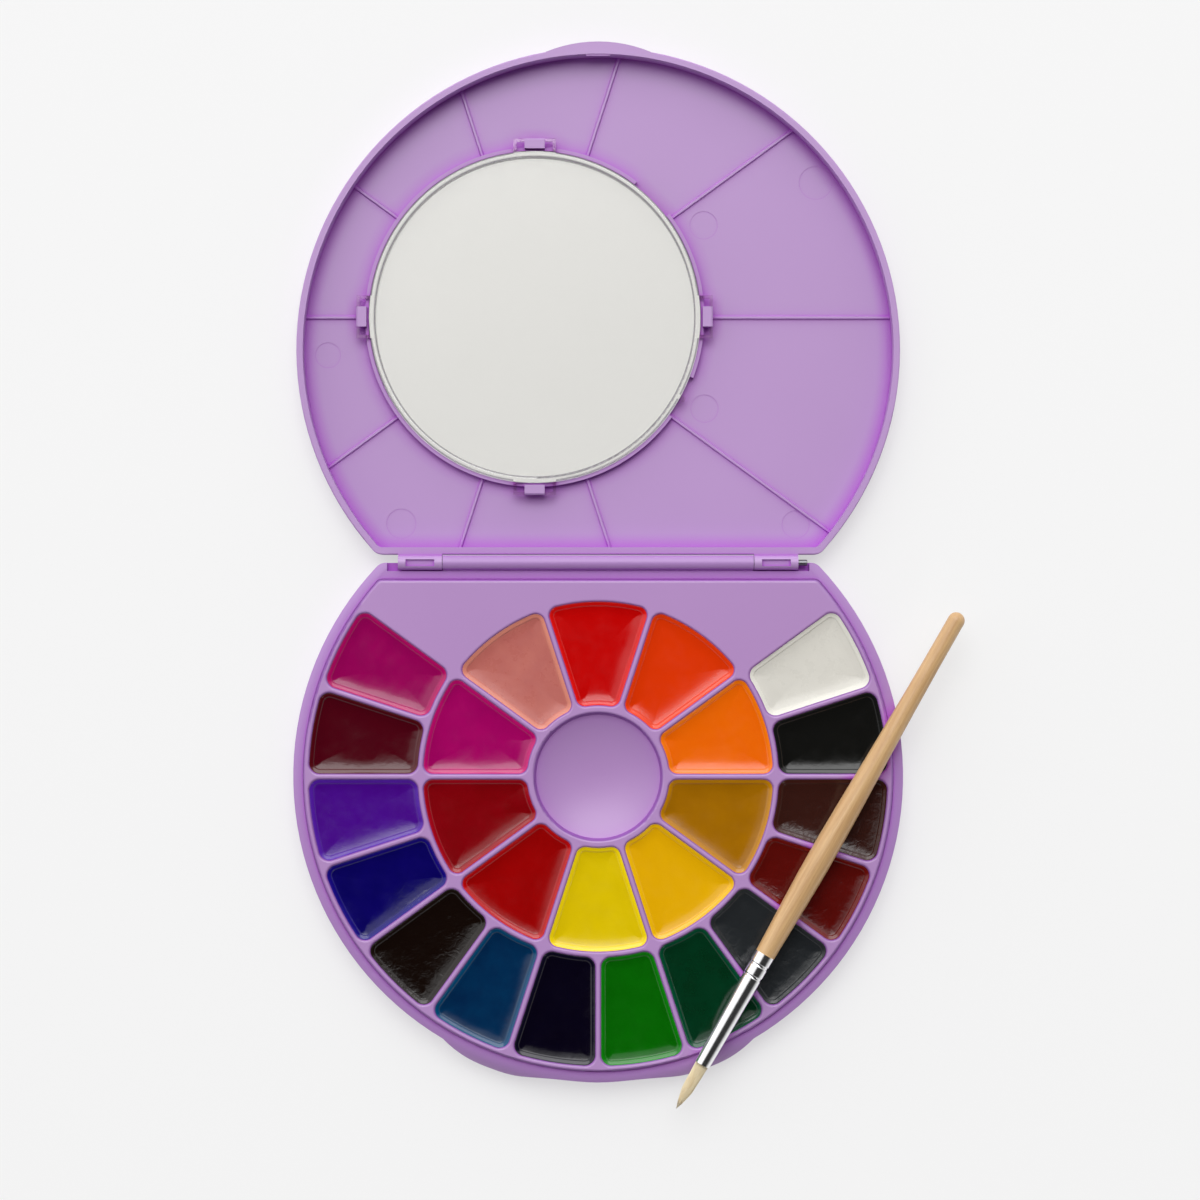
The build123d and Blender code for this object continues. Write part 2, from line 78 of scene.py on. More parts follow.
# Sizes that the replaced pieces share with the frame
divider_width = 2.0 * MM
inner_ring = {"start": 23.4 * MM, "end": 57.2 * MM, "span": 36.0, "first": 90.0, "corner": 3.0 * MM}
outer_ring = {"start": 59.2 * MM, "end": 94.6 * MM, "span": 18.0, "first": 153.0, "corner": 3.4 * MM}
well_depth = 5.2 * MM
well_draft = 3.0
well_edge_round = 0.95 * MM
least_corner = 0.35 * MM
paint_gap = 0.04 * MM

# Surface of the poured paint, from the wall of its well inwards
paint_below_deck = 0.5 * MM
edge_steps = 5
film_drop = 0.24 * MM
film_width = 0.22 * MM
step_drop = 0.24 * MM
step_place = 1.35 * MM
step_width = 0.5 * MM
shelf_drop = 1.0 * MM
shelf_width = 8.5 * MM
shelf_power = 2.6
wave_scale = 85
fine_wave_ratio = 3
fine_wave_share = 0.2
seed_step = 3.1
seed_turn = 0.7
film_steps = [0.07 * MM, 0.16 * MM, 0.28 * MM, 0.45 * MM, 0.7 * MM, 0.95 * MM]
ledge_steps = [1.1 * MM, 1.2 * MM, 1.3 * MM, 1.4 * MM, 1.5 * MM, 1.6 * MM, 1.8 * MM]
hollow_steps = [2.2 * MM, 2.8 * MM, 3.4 * MM, 4.0 * MM]
middle_steps = 9
middle_reach = 5 * MM

# Paint's own look: share of the thin colour in its clouds, spread of its roughness, least crust
cloud_share = 0.16
gloss_spread = (0.75, 1.35)
least_crust = 0.05

# Plastic: the tone and roughness of each moulding, how deep its flow clouds are, the painted shade of its
# crevices and how near a wall makes one, the painted shade of a flank, and the clear dish's tint and edge
# shade
lid_tone = (186, 148, 203)
# The base is the lid's plastic made darker: painted shade for its low, outward-sloping rim
base_shaded_tone = (176, 134, 196)
tray_tone = (181, 141, 197)
shell_roughness = (0.38, 0.43)
tray_roughness = (0.29, 0.33)
cloud_depth = 0.95
# Painted shade: a saturated purple laid into crevices and at the foot of walls, where shade falls
painted_crevice_shade = (172, 72, 196)
crevice_reach = 5 * MM
crevice_closed = 0.35
crevice_samples = 4
# Painted shade: the tray's sloping flanks are made deeper purple by how far they lean from level
flank_shade_tone = (134, 86, 160)
flank_slope = 0.7
flat_slope = 0.99
clear_tone = (244, 243, 239)
clear_edge_shade = (112, 108, 116)

# Metals in linear values, and wood and hair in screen values
steel_dark = (0.10, 0.10, 0.11, 1.0)
steel_light = (0.30, 0.30, 0.32, 1.0)
nickel_dark = (0.86, 0.86, 0.87, 1.0)
nickel_light = (0.97, 0.97, 0.98, 1.0)
wood_pale = (215, 177, 127)
wood_brown = (186, 142, 94)
wood_pore = (172, 124, 78)
hair_dark = (240, 218, 170)
hair_light = (255, 245, 218)

# Brush: its heading, and the hair from the ferrule's mouth on
brush_angle = math.radians(60.13)
end_ring = 0.05 * MM
tuft_length = 17.1 * MM
tuft_root = 2.2 * MM
tuft_waist = 1.9 * MM
tuft_waist_place = 9.7 * MM
tuft_point = 0.16 * MM
tuft_taper_power = 1.15
tuft_depth = 1.5 * MM
core_share = 0.86
hair_count = 620
hair_steps = 12
hair_radius = 0.075 * MM
hair_shortening = 0.10
hair_uneven = 0.07
hair_drift = 0.25
hair_spread = 0.2
hair_taper = 0.8
hair_sides = 5
hair_seed = 11
golden_angle = math.radians(137.508)
core_divisions = 24
core_first = -3
core_last = 21
core_sides = 20


def linear(red, green, blue):
    """Linear colour from the 0 to 255 values of a screen colour."""
    def one(value):
        share = value / 255
        return share / 12.92 if share <= 0.04045 else ((share + 0.055) / 1.055) ** 2.4
    return (one(red), one(green), one(blue), 1.0)


def grey(level):
    """Grey colour of a linear level."""
    return (level, level, level, 1.0)


# Node helpers


def new_material(name):
    """Empty material with its output node."""
    material = bpy.data.materials.new(name)
    material.use_nodes = True
    tree = material.node_tree
    tree.nodes.clear()
    return material, tree, tree.nodes.new("ShaderNodeOutputMaterial")


def add(tree, kind, **values):
    """Node with attributes and input values set by name."""
    node = tree.nodes.new(kind)
    for key, value in values.items():
        if hasattr(node, key):
            setattr(node, key, value)
        else:
            node.inputs[key.replace("_", " ")].default_value = value
    return node


def principled(tree, output, **values):
    """Principled shader joined to the output, with its constant sockets set."""
    shader = tree.nodes.new("ShaderNodeBsdfPrincipled")
    for key, value in values.items():
        shader.inputs[key].default_value = value
    tree.links.new(shader.outputs[0], output.inputs["Surface"])
    return shader


def object_point(tree, turn=0.0, scale=(1, 1, 1)):
    """Object coordinates, turned about the vertical and then scaled."""
    point = tree.nodes.new("ShaderNodeTexCoord")
    turned = add(tree, "ShaderNodeMapping", Rotation=(0, 0, turn))
    scaled = add(tree, "ShaderNodeMapping", Scale=scale)
    tree.links.new(point.outputs["Object"], turned.inputs["Vector"])
    tree.links.new(turned.outputs["Vector"], scaled.inputs["Vector"])
    return scaled.outputs["Vector"]


def noise_texture(tree, vector, scale, detail=3.0, roughness=0.5, distortion=0.0):
    """Noise value at a scale in cycles per metre."""
    node = tree.nodes.new("ShaderNodeTexNoise")
    node.inputs["Scale"].default_value = scale
    node.inputs["Detail"].default_value = detail
    node.inputs["Roughness"].default_value = roughness
    node.inputs["Distortion"].default_value = distortion
    tree.links.new(vector, node.inputs["Vector"])
    return node.outputs["Fac"]


def remap(tree, value, low, high, from_low=0.3, from_high=0.7):
    """Value spread between two ends. The default inputs hold most of a noise's values."""
    node = tree.nodes.new("ShaderNodeMapRange")
    node.inputs["From Min"].default_value = from_low
    node.inputs["From Max"].default_value = from_high
    node.inputs["To Min"].default_value = low
    node.inputs["To Max"].default_value = high
    tree.links.new(value, node.inputs["Value"])
    return node.outputs["Result"]


def maths(tree, operation, *values):
    """Result of a maths node on values that are sockets or numbers."""
    node = tree.nodes.new("ShaderNodeMath")
    node.operation = operation
    for value, socket in zip(values, node.inputs):
        if isinstance(value, bpy.types.NodeSocket):
            tree.links.new(value, socket)
        else:
            socket.default_value = value
    return node.outputs[0]


def mix_colour(tree, factor, first, second):
    """Colour between two, by a factor that is a socket."""
    node = tree.nodes.new("ShaderNodeMix")
    node.data_type = "RGBA"
    tree.links.new(factor, node.inputs["Factor"])
    for socket, value in ((node.inputs["A"], first), (node.inputs["B"], second)):
        if isinstance(value, bpy.types.NodeSocket):
            tree.links.new(value, socket)
        else:
            socket.default_value = value
    return node.outputs["Result"]


def bump(tree, shader, height, strength, distance, normal=None):
    """Bump from a height value, joined to the shader's normal."""
    node = tree.nodes.new("ShaderNodeBump")
    node.inputs["Strength"].default_value = strength
    node.inputs["Distance"].default_value = distance
    tree.links.new(height, node.inputs["Height"])
    if normal is not None:
        tree.links.new(normal, node.inputs["Normal"])
    tree.links.new(node.outputs["Normal"], shader.inputs["Normal"])
    return node.outputs["Normal"]


# Materials


def openness(tree):
    """Nought in a crevice and one in the open."""
    node = add(tree, "ShaderNodeAmbientOcclusion", Distance=crevice_reach)
    node.samples = crevice_samples
    return remap(tree, node.outputs["AO"], 0, 1, crevice_closed, 1.0)


def uprightness(tree):
    """How far a surface faces straight up or down: one on a level, nought on a wall."""
    split = tree.nodes.new("ShaderNodeSeparateXYZ")
    tree.links.new(tree.nodes.new("ShaderNodeTexCoord").outputs["Normal"], split.inputs[0])
    return maths(tree, "ABSOLUTE", split.outputs["Z"])


def lavender_material(name, tone, roughness, shaded_flanks=False):
    """Moulded plastic: fine skin texture, faint flow clouds, painted shade of deeper purple in its
    crevices, and if asked painted shade on its sloping flanks.
    """
    material, tree, output = new_material(name)
    shader = principled(tree, output, **{"IOR": 1.5})
    point = object_point(tree)
    clouds = noise_texture(tree, point, scale=11, detail=2, roughness=0.5)
    tone = linear(*tone)
    deeper = tuple(value * cloud_depth for value in tone[:3]) + (1.0,)
    open_tone = mix_colour(tree, remap(tree, clouds, 0, 1), deeper, tone)
    # Painted shade on sloping flanks, by how far the surface faces up
    if shaded_flanks:
        level = remap(tree, uprightness(tree), 0, 1, flank_slope, flat_slope)
        open_tone = mix_colour(tree, level, linear(*flank_shade_tone), open_tone)
    # Painted shade: deeper purple mixed in where the plastic is closed in by nearby surfaces
    colour = mix_colour(tree, openness(tree), linear(*painted_crevice_shade), open_tone)
    tree.links.new(colour, shader.inputs["Base Color"])
    wear = noise_texture(tree, point, scale=34, detail=3, roughness=0.5)
    tree.links.new(remap(tree, wear, *roughness), shader.inputs["Roughness"])
    skin = noise_texture(tree, point, scale=2600, detail=2, roughness=0.6)
    first = bump(tree, shader, skin, strength=0.10, distance=0.04 * MM)
    waves = noise_texture(tree, point, scale=42, detail=2, roughness=0.4)
    bump(tree, shader, waves, strength=0.12, distance=0.3 * MM, normal=first)
    return material


def clear_material():
    """Clear moulded plastic with fine scuffs, and painted shade on its walls and rounded edges where clear
    plastic shows dark lines.
    """
    material, tree, output = new_material("clear_dish")
    shader = principled(tree, output, **{"IOR": 1.49, "Transmission Weight": 1.0})
    point = object_point(tree)
    # Painted shade: walls and rounded edges of the dish made darker, in place of the dark lines of bent
    # light
    flat = remap(tree, uprightness(tree), 0, 1, from_low=0.85, from_high=0.99)
    colour = mix_colour(tree, flat, linear(*clear_edge_shade), linear(*clear_tone))
    tree.links.new(colour, shader.inputs["Base Color"])
    scuffs = noise_texture(tree, point, scale=90, detail=6, roughness=0.7, distortion=1.5)
    tree.links.new(remap(tree, scuffs, 0.02, 0.09), shader.inputs["Roughness"])
    skin = noise_texture(tree, point, scale=900, detail=3, roughness=0.6)
    bump(tree, shader, skin, strength=0.05, distance=0.04 * MM)
    return material


def steel_material():
    """Drawn steel wire of the hinge pins."""
    material, tree, output = new_material("drawn_steel")
    shader = principled(tree, output, **{"Metallic": 1.0})
    point = object_point(tree, scale=(40, 900, 900))
    lines = noise_texture(tree, point, scale=3, detail=4, roughness=0.6)
    tone = mix_colour(tree, lines, steel_dark, steel_light)
    tree.links.new(tone, shader.inputs["Base Color"])
    tree.links.new(remap(tree, lines, 0.25, 0.5), shader.inputs["Roughness"])
    bump(tree, shader, lines, strength=0.15, distance=0.03 * MM)
    return material


def ferrule_material():
    """Bright nickel plate with fine rings from the spinning."""
    material, tree, output = new_material("bright_nickel")
    shader = principled(tree, output, **{"Metallic": 1.0})
    point = object_point(tree, turn=-brush_angle, scale=(900, 12, 12))
    rings = noise_texture(tree, point, scale=2, detail=4, roughness=0.6)
    tone = mix_colour(tree, rings, nickel_dark, nickel_light)
    tree.links.new(tone, shader.inputs["Base Color"])
    tree.links.new(remap(tree, rings, 0.14, 0.18), shader.inputs["Roughness"])
    bump(tree, shader, rings, strength=0.04, distance=0.02 * MM)
    return material


def wood_material():
    """Pale turned wood under thin varnish, with long grain and small pores."""
    material, tree, output = new_material("pale_wood")
    shader = principled(tree, output, **{"Coat Weight": 0.35, "Coat Roughness": 0.25})
    grain_point = object_point(tree, turn=-brush_angle, scale=(14, 330, 330))
    grain = noise_texture(tree, grain_point, scale=1.6, detail=5, roughness=0.62, distortion=0.6)
    grain_share = remap(tree, grain, 0, 1, from_low=0.35, from_high=0.72)
    colour = mix_colour(tree, grain_share, linear(*wood_pale), linear(*wood_brown))
    pore_point = object_point(tree, turn=-brush_angle, scale=(160, 2600, 2600))
    pores = noise_texture(tree, pore_point, scale=1.5, detail=2, roughness=0.5)
    pore_share = remap(tree, pores, 0, 0.45, from_low=0.62, from_high=0.75)
    colour = mix_colour(tree, pore_share, colour, linear(*wood_pore))
    tree.links.new(colour, shader.inputs["Base Color"])
    tree.links.new(remap(tree, grain, 0.36, 0.52), shader.inputs["Roughness"])
    bump(tree, shader, pores, strength=0.2, distance=0.05 * MM)
    return material


def bristle_material():
    """Pale synthetic hair, whose tone changes a little from strand to strand."""
    material, tree, output = new_material("pale_hair")
    shader = principled(tree, output, **{"Roughness": 0.42, "Sheen Weight": 0.3})
    point = object_point(tree, turn=-brush_angle, scale=(120, 5200, 5200))
    strands = noise_texture(tree, point, scale=1, detail=2, roughness=0.5)
    colour = mix_colour(tree, remap(tree, strands, 0, 1), linear(*hair_dark), linear(*hair_light))
    tree.links.new(colour, shader.inputs["Base Color"])
    return material


def paint_material(name, deep, thin, roughness, ripple):
    """Dried glossy paint: deep in the middle, thin and brighter where it climbs the walls."""
    material, tree, output = new_material(name)
    shader = principled(tree, output, **{"IOR": 1.48})
    point = object_point(tree)
    clouds = noise_texture(tree, point, scale=120, detail=4, roughness=0.6)
    cloudy = mix_colour(tree, remap(tree, clouds, 0, cloud_share), deep, thin)
    split = tree.nodes.new("ShaderNodeSeparateXYZ")
    tree.links.new(point, split.inputs[0])
    edge = deck_z - paint_below_deck
    height = remap(tree, split.outputs["Z"], 0, 1, edge - film_drop - step_drop - shelf_drop / 2, edge)
    colour = mix_colour(tree, height, cloudy, thin)
    tree.links.new(colour, shader.inputs["Base Color"])
    gloss = noise_texture(tree, point, scale=260, detail=4, roughness=0.6)
    gloss_low, gloss_high = [roughness * spread for spread in gloss_spread]
    tree.links.new(remap(tree, gloss, gloss_low, gloss_high), shader.inputs["Roughness"])
    crust = noise_texture(tree, point, scale=380, detail=4, roughness=0.55, distortion=0.8)
    bump(tree, shader, crust, strength=least_crust + ripple, distance=0.4 * MM)
    return material


# Paint cakes


def arc_points(centre, radius, start, end, count):
    """Points along an arc, ends included, angles in radians."""
    points = []
    for index in range(count):
        turn = start + (end - start) * index / (count - 1)
        points.append((centre[0] + radius * math.cos(turn), centre[1] + radius * math.sin(turn)))
    return points


def between(first, second, count):
    """Points on a straight line, without its ends."""
    points = []
    for index in range(1, count + 1):
        share = index / (count + 1)
        points.append(tuple(one + share * (other - one) for one, other in zip(first, second)))
    return points


def well_loop(ring, inset, side_points=22, corner_points=9):
    """Loop of points round a well that lies along +X, drawn in from its walls by an inset."""
    half = math.radians(ring["span"] / 2)
    start, end = ring["start"] + inset, ring["end"] - inset
    offset = divider_width / 2 + inset
    corner = max(ring["corner"] - inset, least_corner)

    def corner_centre(radius):
        """Centre of a corner arc that touches the circle of this radius and the side wall."""
        across = offset + corner
        along = math.sqrt(radius * radius - across * across)
        return (
            along * math.cos(half) + across * math.sin(half),
            along * math.sin(half) - across * math.cos(half),
        )

    far = corner_centre(end - corner)
    near = corner_centre(start + corner)
    far_turn = math.atan2(far[1], far[0])
    near_turn = math.atan2(near[1], near[0])
    wall_turn = half + math.pi / 2
    upper = arc_points(far, corner, far_turn, wall_turn, corner_points)
    lower = arc_points(near, corner, wall_turn, near_turn + math.pi, corner_points)
    upper_half = upper + between(upper[-1], lower[0], side_points) + lower
    lower_half = [(x, -y) for x, y in reversed(upper_half)]
    outer_turns = [far_turn * (2 * index / (side_points + 1) - 1) for index in range(1, side_points + 1)]
    outer = [(end * math.cos(turn), end * math.sin(turn)) for turn in outer_turns]
    inner_turns = [near_turn * (1 - 2 * index / (side_points + 1)) for index in range(1, side_points + 1)]
    inner = [(start * math.cos(turn), start * math.sin(turn)) for turn in inner_turns]
    return outer + upper_half + inner + lower_half


def loop_mesh(name, loops):
    """Closed mesh through a stack of loops with as many points each; the last one is a point."""
    build = bmesh.new()
    rows = [[build.verts.new(point) for point in loop] for loop in loops[:-1]]
    tip = build.verts.new(loops[-1])
    count = len(rows[0])
    for low, high in zip(rows, rows[1:]):
        for index in range(count):
            after = (index + 1) % count
            build.faces.new((low[index], low[after], high[after], high[index]))
    for index in range(count):
        build.faces.new((rows[-1][index], rows[-1][(index + 1) % count], tip))
    build.faces.new(list(reversed(rows[0])))
    bmesh.ops.recalc_face_normals(build, faces=build.faces)
    mesh = bpy.data.meshes.new(name)
    build.to_mesh(mesh)
    build.free()
    mesh.polygons.foreach_set("use_smooth", [True] * len(mesh.polygons))
    return mesh


def surface_drop(distance):
    """How far the paint lies under its upper edge, at a distance from the wall.

    A steep film clings to the wall, a narrow ledge ends in a soft step, and a hollow follows.
    """
    film = film_drop * (1 - math.exp(-distance / film_width))
    climb = min(max((distance - step_place) / step_width + 0.5, 0.0), 1.0)
    step = step_drop * climb * climb * (3 - 2 * climb)
    share = min(max(distance / shelf_width, 0.0), 1.0)
    shelf = shelf_drop * (1 - (1 - share) ** shelf_power)
    return film + step + shelf


def swirl(x, y, seed, height):
    """Slow waves left in the surface where the paint dried."""
    slow = noise.noise(Vector((x * wave_scale + seed, y * wave_scale, seed * seed_turn)))
    fine_scale = fine_wave_ratio * wave_scale
    fine = noise.noise(Vector((x * fine_scale, y * fine_scale + seed, seed)))
    return height * (slow + fine_wave_share * fine)


def paint_cake(name, ring, angle, seed, wave):
    """Poured paint that wets the walls of its well, so that its surface curves up all round."""
    bottom = deck_z - well_depth + paint_gap
    edge = deck_z - paint_below_deck
    rounding = deck_z - well_edge_round
    draft = math.tan(math.radians(well_draft))
    turn = Matrix.Rotation(math.radians(angle), 3, "Z")

    def loop_at(height, distance):
        """Loop of the wall at a height, drawn in by a distance. Near the top the wall leans back."""
        climb = max(height - rounding, 0.0)
        lean = well_edge_round - math.sqrt(well_edge_round**2 - climb**2)
        inset = paint_gap + draft * (deck_z - height) - lean + distance
        return [turn @ Vector((x, y, height)) for x, y in well_loop(ring, inset)]

    def surface(point, distance):
        """The same point at the height of the paint's surface."""
        calm = 1 - math.exp(-distance / film_width)
        height = edge - surface_drop(distance) + calm * swirl(point.x, point.y, seed, wave)
        return Vector((point.x, point.y, height))

    loops = [loop_at(bottom, 0)]
    for step in range(edge_steps + 1):
        loops.append(loop_at(rounding + (edge - rounding) * step / edge_steps, 0))
    for distance in film_steps + ledge_steps + hollow_steps:
        loops.append([surface(point, distance) for point in loop_at(edge, distance)])
    last = loops[-1]
    middle = sum(last, Vector((0, 0, 0))) / len(last)
    for step in range(1, middle_steps):
        share = step / middle_steps
        distance = hollow_steps[-1] + share * middle_reach
        loops.append([surface(point.lerp(middle, share), distance) for point in last])
    loops.append(surface(middle, hollow_steps[-1] + middle_reach))
    return bpy.data.objects.new(name, loop_mesh(name, loops))


# Name, colour of the middle, colour of the thin edge, roughness, ripple and wave of each cake,
# anticlockwise round its ring
inner_cakes = [
    ("red", (192, 0, 0), (232, 20, 16), 0.14, 0.0, 0.14),
    ("flesh_pink", (185, 100, 93), (236, 152, 128), 0.30, 0.05, 0.08),
    ("magenta", (159, 0, 94), (206, 14, 116), 0.13, 0.0, 0.22),
    ("crimson", (125, 0, 6), (176, 4, 30), 0.13, 0.0, 0.15),
    ("deep_red", (148, 0, 0), (204, 6, 12), 0.14, 0.0, 0.10),
    ("yellow", (221, 191, 0), (255, 226, 14), 0.18, 0.0, 0.06),
    ("golden_yellow", (229, 171, 0), (248, 196, 4), 0.18, 0.0, 0.06),
    ("ochre", (158, 102, 0), (206, 140, 6), 0.15, 0.0, 0.08),
    ("orange", (239, 101, 0), (252, 132, 8), 0.17, 0.0, 0.06),
    ("orange_red", (222, 53, 0), (244, 66, 8), 0.16, 0.0, 0.06),
]
outer_cakes = [
    ("purple", (146, 0, 84), (196, 10, 106), 0.14, 0.0, 0.18),
    ("maroon", (75, 0, 17), (84, 6, 16), 0.12, 0.05, 0.22),
    ("violet", (70, 1, 134), (88, 34, 172), 0.20, 0.08, 0.12),
    ("indigo", (5, 0, 88), (28, 10, 138), 0.12, 0.06, 0.21),
    ("sepia", (16, 5, 2), (28, 18, 12), 0.13, 0.30, 0.14),
    ("dark_blue", (0, 36, 74), (0, 84, 128), 0.13, 0.0, 0.15),
    ("blue_black", (4, 0, 17), (12, 10, 34), 0.12, 0.05, 0.15),
    ("green", (4, 95, 0), (14, 138, 14), 0.14, 0.0, 0.08),
    ("dark_green", (0, 45, 20), (0, 84, 54), 0.13, 0.0, 0.20),
    ("grey", (34, 37, 40), (44, 48, 50), 0.20, 0.25, 0.12),
    ("red_brown", (86, 10, 6), (122, 12, 6), 0.13, 0.25, 0.14),
    ("umber", (52, 23, 17), (66, 26, 20), 0.14, 0.30, 0.16),
    ("black", (16, 16, 14), (20, 20, 20), 0.13, 0.06, 0.14),
    ("white", (216, 213, 204), (236, 234, 224), 0.28, 0.05, 0.12),
]


def make_cakes(cakes, ring):
    """One piece of paint for each well of a ring."""
    for index, (word, deep, thin, roughness, ripple, wave) in enumerate(cakes):
        angle = ring["first"] + index * ring["span"]
        seed = seed_step * index + ring["span"]
        piece = paint_cake("paint_" + word, ring, angle, seed, wave * MM)
        bpy.context.scene.collection.objects.link(piece)
        material = paint_material("paint_" + word, linear(*deep), linear(*thin), roughness, ripple)
        piece.data.materials.append(material)
        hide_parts("cake_" + word)
        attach(piece, "base")


# Brush tuft


def ring_middle(node, way, last):
    """Middle of a node's outermost ring of points along a direction, at its first or last end."""
    points = [vertex.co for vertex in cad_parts[node].data.vertices]
    reach = [point.dot(way) for point in points]
    limit = max(reach) - end_ring if last else min(reach) + end_ring
    near = [point for point, along in zip(points, reach) if (along > limit if last else along < limit)]
    return (Vector([min(axis) for axis in zip(*near)]) + Vector([max(axis) for axis in zip(*near)])) / 2


def brush_frame():
    """Matrix of the brush: X runs from the ferrule's mouth to the tip of the hair."""
    way = Vector((math.cos(brush_angle), math.sin(brush_angle), 0))
    mouth = ring_middle("brush_ferrule", way, False)
    end = ring_middle("brush_ferrule", way, True)
    along = (mouth - end).normalized()
    side = along.cross(Vector((0, 0, 1))).normalized()
    up = side.cross(along)
    matrix = Matrix((along, side, up)).transposed().to_4x4()
    matrix.translation = mouth
    return matrix


def tuft_radius(along):
    """Radius of the tuft at a distance from the ferrule's mouth: nearly even, then a long point."""
    if along < tuft_waist_place:
        return tuft_root + (tuft_waist - tuft_root) * max(along, 0.0) / tuft_waist_place
    share = min((along - tuft_waist_place) / (tuft_length - tuft_waist_place), 1.0)
    return tuft_waist + (tuft_point - tuft_waist) * share**tuft_taper_power


def tube_into(build, points, radii, sides):
    """Tube of a few sides through points, closed at both ends, added to a mesh."""
    rows = []
    for index, (point, radius) in enumerate(zip(points, radii)):
        before = points[max(index - 1, 0)]
        after = points[min(index + 1, len(points) - 1)]
        turn = (after - before).to_track_quat("Z", "X")
        row = []
        for side in range(sides):
            angle = 2 * math.pi * side / sides
            offset = turn @ Vector((math.cos(angle) * radius, math.sin(angle) * radius, 0))
            row.append(build.verts.new(point + offset))
        rows.append(row)
    for low, high in zip(rows, rows[1:]):
        for side in range(sides):
            after = (side + 1) % sides
            build.faces.new((low[side], low[after], high[after], high[side]))
    build.faces.new(list(reversed(rows[0])))
    build.faces.new(rows[-1])


def hair_points(draw, share, angle):
    """Line of one hair: it keeps its share of the tuft's radius and wanders a little."""
    length = tuft_length * (1 - hair_shortening * share * share - hair_uneven * draw.random())
    drift = draw.uniform(-hair_drift, hair_drift)
    points = []
    for step in range(hair_steps + 1):
        along = -tuft_depth + (length + tuft_depth) * step / hair_steps
        radius = tuft_radius(along) * share
        turn = angle + drift * max(along, 0) / tuft_length
        points.append(Vector((along, radius * math.cos(turn), radius * math.sin(turn))))
    return points


def make_tuft():
    """Hair of the brush: a core, and many tapered hairs spread over it by the golden angle."""
    draw = random.Random(hair_seed)
    build = bmesh.new()
    core_steps = [tuft_length * step / core_divisions for step in range(core_first, core_last + 1)]
    core_points = [Vector((along, 0, 0)) for along in core_steps]
    core_radii = [tuft_radius(along) * core_share for along in core_steps]
    tube_into(build, core_points, core_radii, core_sides)
    for index in range(hair_count):
        share = math.sqrt((index + 0.5) / hair_count)
        points = hair_points(draw, share, index * golden_angle)
        thick = hair_radius * draw.uniform(1 - hair_spread, 1 + hair_spread)
        radii = [thick * (1 - hair_taper * (step / hair_steps) ** 2) for step in range(hair_steps + 1)]
        tube_into(build, points, radii, hair_sides)
    bmesh.ops.recalc_face_normals(build, faces=build.faces)
    build.transform(brush_frame())
    mesh = bpy.data.meshes.new("brush_hair")
    build.to_mesh(mesh)
    build.free()
    mesh.polygons.foreach_set("use_smooth", [True] * len(mesh.polygons))
    piece = bpy.data.objects.new("brush_hair", mesh)
    bpy.context.scene.collection.objects.link(piece)
    mesh.materials.append(bristle_material())
    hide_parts("brush_bristles")
    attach(piece, "brush")


# Floor, light and camera


def paint_cad():
    """Materials of the pieces that keep their own solid."""
    finish = {
        "lid_shell": lavender_material("lavender_shell", lid_tone, shell_roughness),
        "base_shell": lavender_material("lavender_base", base_shaded_tone, shell_roughness),
        "well_tray": lavender_material("lavender_tray", tray_tone, tray_roughness, shaded_flanks=True),
        "window_lens": clear_material(),
        "hinge_pin_left": steel_material(),
        "hinge_pin_right": steel_material(),
        "brush_handle": wood_material(),
        "brush_ferrule": ferrule_material(),
    }
    for node, material in finish.items():
        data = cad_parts[node].data
        data.materials.clear()
        data.materials.append(material)


def glow_share(tree):
    """Share of the floor that glows, for the rays that look at it: camera, mirror and clear ones."""
    path = tree.nodes.new("ShaderNodeLightPath")
    total = 0.0
    shares = {
        "Is Camera Ray": floor_glow,
        "Is Glossy Ray": floor_glow,
        "Is Transmission Ray": floor_glow_in_clear,
    }
    for name, share in shares.items():
        total = maths(tree, "MAXIMUM", total, maths(tree, "MULTIPLY", path.outputs[name], share))
    return total


def make_floor():
    """Plain pale floor that keeps the object's shadow."""
    bpy.ops.mesh.primitive_plane_add(size=floor_size, location=(*view_centre, -floor_drop))
    floor = bpy.context.object
    floor.name = "floor"
    material, tree, output = new_material("pale_floor")
    matt = add(tree, "ShaderNodeBsdfDiffuse", Color=grey(floor_tone))
    glow = add(tree, "ShaderNodeEmission", Color=grey(backdrop_tone), Strength=1.0)
    mix = tree.nodes.new("ShaderNodeMixShader")
    tree.links.new(glow_share(tree), mix.inputs[0])
    tree.links.new(matt.outputs[0], mix.inputs[1])
    tree.links.new(glow.outputs[0], mix.inputs[2])
    tree.links.new(mix.outputs[0], output.inputs["Surface"])
    floor.data.materials.append(material)


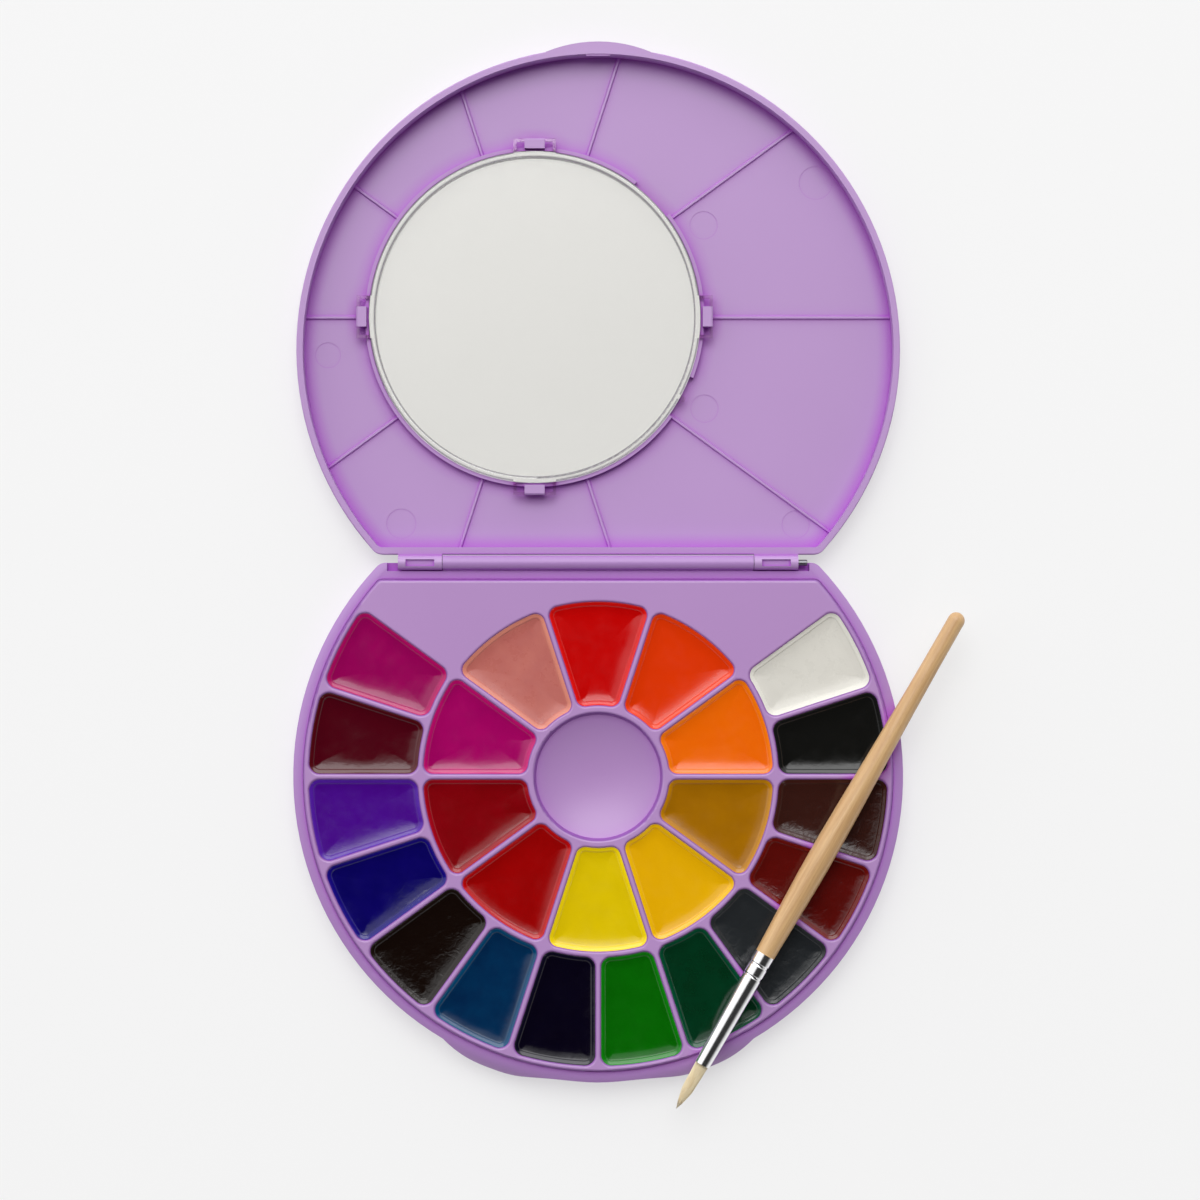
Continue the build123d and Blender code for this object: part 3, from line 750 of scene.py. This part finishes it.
def make_world():
    """Soft light from the far side and low all round, dark overhead, so that gloss stays deep."""
    world = bpy.data.worlds.new("studio")
    bpy.context.scene.world = world
    world.use_nodes = True
    tree = world.node_tree
    tree.nodes.clear()
    output = tree.nodes.new("ShaderNodeOutputWorld")
    point = tree.nodes.new("ShaderNodeTexCoord")
    turn = add(tree, "ShaderNodeMapping", Rotation=(0, 0, math.radians(world_turn)))
    tree.links.new(point.outputs["Generated"], turn.inputs["Vector"])
    split = tree.nodes.new("ShaderNodeSeparateXYZ")
    tree.links.new(turn.outputs["Vector"], split.inputs[0])
    ramp = tree.nodes.new("ShaderNodeValToRGB")
    ramp.color_ramp.interpolation = "EASE"
    tree.links.new(split.outputs["Y"], ramp.inputs["Fac"])
    stops = ramp.color_ramp.elements
    while len(stops) < len(world_levels):
        stops.new(0.5)
    for stop, (place, level) in zip(stops, world_levels):
        stop.position = place
        stop.color = grey(level)
    ring = remap(tree, split.outputs["Z"], horizon_level, 0, horizon_bottom, horizon_top)
    soft = add(tree, "ShaderNodeBackground", Strength=world_strength)
    tree.links.new(maths(tree, "MAXIMUM", ramp.outputs["Color"], ring), soft.inputs["Color"])
    behind = add(tree, "ShaderNodeBackground", Color=grey(backdrop_tone), Strength=1.0)
    path = tree.nodes.new("ShaderNodeLightPath")
    mix = tree.nodes.new("ShaderNodeMixShader")
    tree.links.new(path.outputs["Is Camera Ray"], mix.inputs[0])
    tree.links.new(soft.outputs[0], mix.inputs[1])
    tree.links.new(behind.outputs[0], mix.inputs[2])
    tree.links.new(mix.outputs[0], output.inputs["Surface"])


def area_light(name, from_vertical, turn, distance, size, level):
    """Square soft light that points at the object, from an angle off the vertical and a turn."""
    tilt, heading = math.radians(from_vertical), math.radians(turn)
    aim = Vector((0, view_centre[1], 0))
    way = Vector((-math.sin(tilt) * math.sin(heading), math.sin(tilt) * math.cos(heading), math.cos(tilt)))
    data = bpy.data.lights.new(name, "AREA")
    data.shape = "SQUARE"
    data.size = size
    data.energy = level * math.pi * math.pi * distance * distance / math.cos(tilt)
    lamp = bpy.data.objects.new(name, data)
    lamp.location = aim + way * distance
    lamp.rotation_euler = way.to_track_quat("Z", "Y").to_euler()
    bpy.context.scene.collection.objects.link(lamp)


def make_camera():
    """Camera straight above, framed as the photograph is."""
    data = bpy.data.cameras.new("camera")
    camera = bpy.data.objects.new("camera", data)
    data.sensor_width = sensor_width
    data.lens = sensor_width * (view_height - deck_z) / view_width_at_deck
    data.clip_end = camera_reach
    camera.location = (*view_centre, view_height)
    bpy.context.scene.collection.objects.link(camera)
    bpy.context.scene.camera = camera


bpy.context.scene.view_settings.view_transform = "Standard"
make_camera()
make_world()
make_floor()
area_light("key", key_from_vertical, key_turn, key_distance, key_size, key_level)
area_light("glint", glint_from_vertical, glint_turn, glint_distance, glint_size, glint_level)
paint_cad()
make_cakes(inner_cakes, inner_ring)
make_cakes(outer_cakes, outer_ring)
make_tuft()
